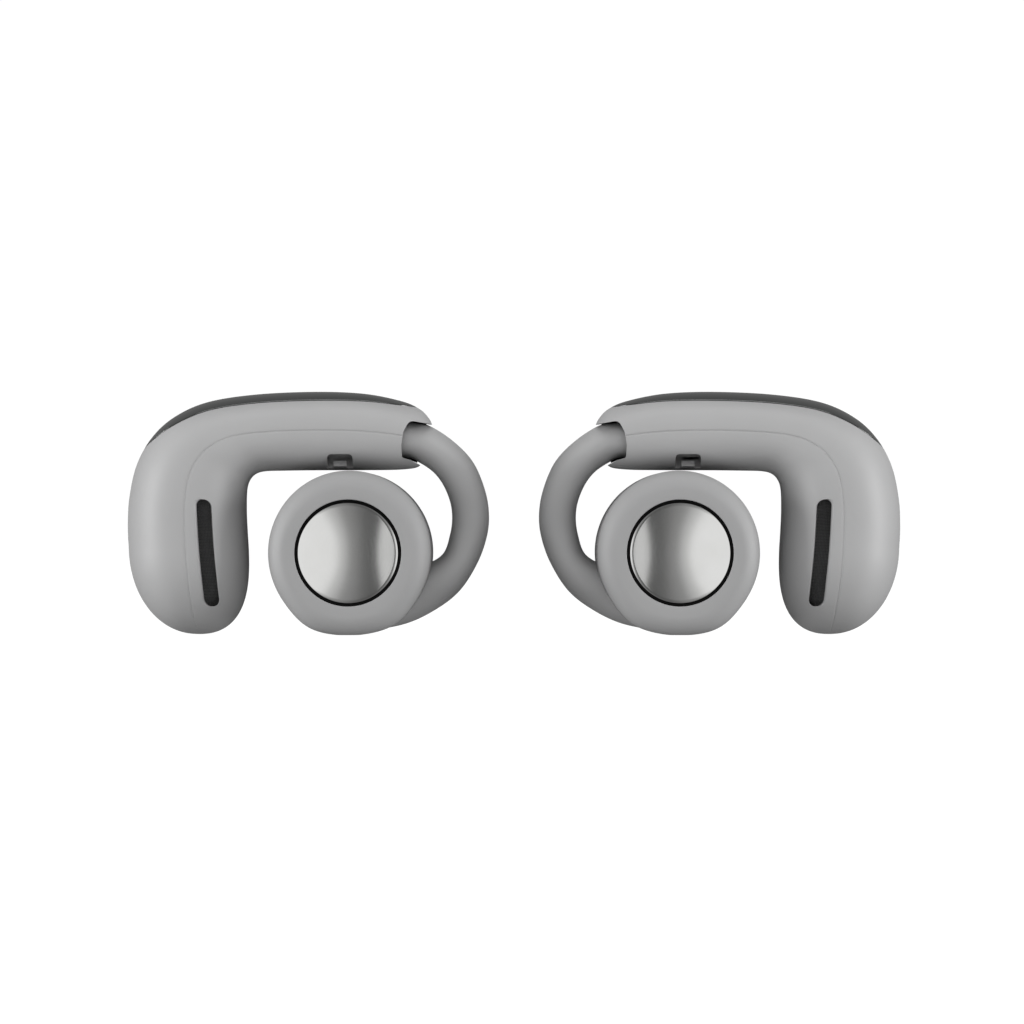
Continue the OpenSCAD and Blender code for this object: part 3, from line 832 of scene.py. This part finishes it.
for side, sign in SIDES.items():
    place(make_outer_shell(side), side, "pod", "pod_plastic", "outer_shell")
    place(make_inner_shell(side), side, "pod", "pod_plastic", "inner_shell")
    place(make_cover(side), side, "pod", "gloss_cover", "glossy_cover")
    place(make_slot_mesh(side), side, "pod", "dark_mesh", "slot_grille")
    place(make_microphone_boss(side), side, "pod", "pod_plastic")
    # The black backing round the hook's root is painted shade: it darkens the gap round the root.
    place(make_gap_shade_backing(side), side, "pod", "black_rubber")
    place(make_capsule(side), side, "capsule", "capsule_plastic", "capsule_body")
    place(make_seal(side), side, "capsule", "black_rubber", "button_seal")
    place(make_contacts(side), side, "capsule", "contact_gold", "charge_contacts")
    metal = spun_metal(f"{side}_polished_metal", (sign * CAPSULE_X * MM, 0, CAPSULE_Z * MM))
    place(make_button(side), side, "button", "polished_metal", "button_disc", material=metal)
    flexible = [
        (make_sleeve(side), "hook_silicone", ("hook_root", "hook_tip")),
        (make_strand("wire", side, WIRE_R, -STRAND_SHIFT), "bright_steel", ("memory_wire",)),
        (make_strand("cable", side, CABLE_R, STRAND_SHIFT), "black_rubber", ("hook_cable",)),
    ]
    for obj, slot, nodes in flexible:
        place(obj, side, None, slot, *nodes)
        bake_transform(obj)

for name, obj in frame["nodes"].items():
    obj.data.materials.clear()
    obj.data.materials.append(MATERIALS.get(NODE_SLOT[name]) or MATERIALS["bright_steel"])

# ---- studio ----

VIEW_WIDTH = 102.4 * MM
CAMERA_DISTANCE = 0.8
SENSOR = 36
AIM = Vector((-0.2 * MM, 0, 12.2 * MM))


def make_camera():
    data = bpy.data.cameras.new("camera")
    data.sensor_width = SENSOR
    data.lens = SENSOR * CAMERA_DISTANCE / VIEW_WIDTH
    data.clip_start = 0.01
    data.clip_end = 20
    camera = bpy.data.objects.new("camera", data)
    bpy.context.scene.collection.objects.link(camera)
    camera.location = AIM + Vector((0, -CAMERA_DISTANCE, 0))
    camera.rotation_euler = (math.radians(90), 0, 0)
    bpy.context.scene.camera = camera


def emissive(name, colour, strength):
    mat = bpy.data.materials.new(name)
    mat.use_nodes = True
    tree = mat.node_tree
    tree.nodes.clear()
    light = tree.nodes.new("ShaderNodeEmission")
    light.inputs["Color"].default_value = (*colour, 1)
    light.inputs["Strength"].default_value = strength
    out = tree.nodes.new("ShaderNodeOutputMaterial")
    tree.links.new(light.outputs[0], out.inputs["Surface"])
    return mat


def staged(name, bm, material):
    mesh = bpy.data.meshes.new(name)
    bm.to_mesh(mesh)
    bm.free()
    obj = bpy.data.objects.new(name, mesh)
    bpy.context.scene.collection.objects.link(obj)
    obj.data.materials.append(material)
    return obj


def only_for_camera(obj):
    for ray in ("diffuse", "glossy", "transmission", "volume_scatter", "shadow"):
        setattr(obj, f"visible_{ray}", False)


def make_floor():
    bm = bmesh.new()
    bmesh.ops.create_circle(bm, cap_ends=True, segments=96, radius=3)
    bmesh.ops.translate(bm, verts=bm.verts, vec=(0, 0, -0.05 * MM))
    mat = bpy.data.materials.new("pale_floor")
    mat.use_nodes = True
    tree = mat.node_tree
    shader = tree.nodes["Principled BSDF"]
    shader.inputs["Base Color"].default_value = (0.1, 0.1, 0.1, 1)
    shader.inputs["Roughness"].default_value = 0.9
    shader.inputs["Specular IOR Level"].default_value = 0.0
    shader.inputs["Emission Color"].default_value = (1, 1, 1, 1)
    shader.inputs["Emission Strength"].default_value = 1.0
    only_for_camera(staged("floor", bm, mat))


def make_backdrop():
    bm = bmesh.new()
    bmesh.ops.create_uvsphere(bm, u_segments=48, v_segments=24, radius=4)
    only_for_camera(staged("backdrop", bm, emissive("backdrop_white", (1, 1, 1), 1.02)))


# The card's tones by distance from its middle line: a bright middle, a dark band, and bright sides
CARD_TONES = [
    (0.0007, 0.62), (0.0072, 0.62), (0.0090, 0.07), (0.016, 0.105),
    (0.029, 0.24), (0.037, 0.50), (0.044, 0.79), (0.079, 0.80),
]
CARD_REACH = 0.08
CARD_MIDDLE = 0.018
CARD_FLARE = 456.0


def reflector():
    """A card behind the camera, seen only in reflections: bright, with a dark waisted band on each side."""
    bm = bmesh.new()
    y = -CAMERA_DISTANCE - 0.02
    corners = [(-0.6, -0.35), (0.6, -0.35), (0.6, 0.6), (-0.6, 0.6)]
    bm.faces.new([bm.verts.new((x, y, z)) for x, z in corners])
    mat, tree, shader = nodes_of("reflector_card")
    coords = tree.nodes.new("ShaderNodeTexCoord").outputs["Object"]
    split = tree.nodes.new("ShaderNodeSeparateXYZ")
    tree.links.new(coords, split.inputs[0])

    def maths(kind, a, b):
        node = tree.nodes.new("ShaderNodeMath")
        node.operation = kind
        for k, value in enumerate((a, b)):
            if isinstance(value, (int, float)):
                node.inputs[k].default_value = value
            elif value is not None:
                tree.links.new(value, node.inputs[k])
        return node.outputs[0]

    height = maths("SUBTRACT", split.outputs["Z"], 2 * CAPSULE_Z * MM - AIM.z)
    flare = maths("ADD", maths("MULTIPLY", maths("MULTIPLY", height, height), CARD_FLARE), 1.0)
    from_band = maths("SUBTRACT", maths("ABSOLUTE", split.outputs["X"], None), CARD_MIDDLE)
    across = maths("ADD", maths("DIVIDE", from_band, flare), CARD_MIDDLE)
    tones = tree.nodes.new("ShaderNodeValToRGB")
    tones.color_ramp.interpolation = "EASE"
    stops = tones.color_ramp.elements
    for _ in CARD_TONES[2:]:
        stops.new(0.5)
    for index, (position, tone) in enumerate(CARD_TONES):
        stops[index].position = position / CARD_REACH
        stops[index].color = (tone, tone, tone, 1)
    tree.links.new(maths("DIVIDE", across, CARD_REACH), tones.inputs["Fac"])
    tree.nodes.remove(shader)
    glow = tree.nodes.new("ShaderNodeEmission")
    tree.links.new(tones.outputs["Color"], glow.inputs["Strength"])
    out = tree.nodes["Material Output"]
    tree.links.new(glow.outputs[0], out.inputs["Surface"])
    card = staged("reflector", bm, mat)
    for ray in ("camera", "diffuse", "transmission", "volume_scatter", "shadow"):
        setattr(card, f"visible_{ray}", False)


LIGHT_TARGET = Vector((0, 0, 0.012))


def softbox(name, location, size, power):
    data = bpy.data.lights.new(name, "AREA")
    data.shape = "RECTANGLE"
    data.size, data.size_y = size
    data.energy = power
    light = bpy.data.objects.new(name, data)
    bpy.context.scene.collection.objects.link(light)
    light.location = location
    light.rotation_euler = (LIGHT_TARGET - Vector(location)).to_track_quat("-Z", "Y").to_euler()
    return light


def make_lights():
    softbox("overhead", (0, -0.12, 0.75), (0.7, 0.5), 2.8)
    for sign in (-1, 1):
        softbox(f"side_{sign}", (sign * 0.7, -0.12, 0.07), (0.4, 0.4), 4.3)
    softbox("front", (0, -0.95, 0.35), (0.9, 0.4), 3.0)
    softbox("low_fill", (0, -0.7, -0.3), (0.9, 0.4), 2.3).visible_glossy = False
    softbox("rear", (0, 0.8, 0.45), (0.8, 0.5), 1.2).visible_glossy = False
    world = bpy.data.worlds.new("studio")
    bpy.context.scene.world = world
    world.use_nodes = True
    world.node_tree.nodes["Background"].inputs["Color"].default_value = (1, 1, 1, 1)
    world.node_tree.nodes["Background"].inputs["Strength"].default_value = 0.14


make_camera()
make_floor()
make_backdrop()
reflector()
make_lights()
bpy.context.scene.view_settings.view_transform = "Standard"
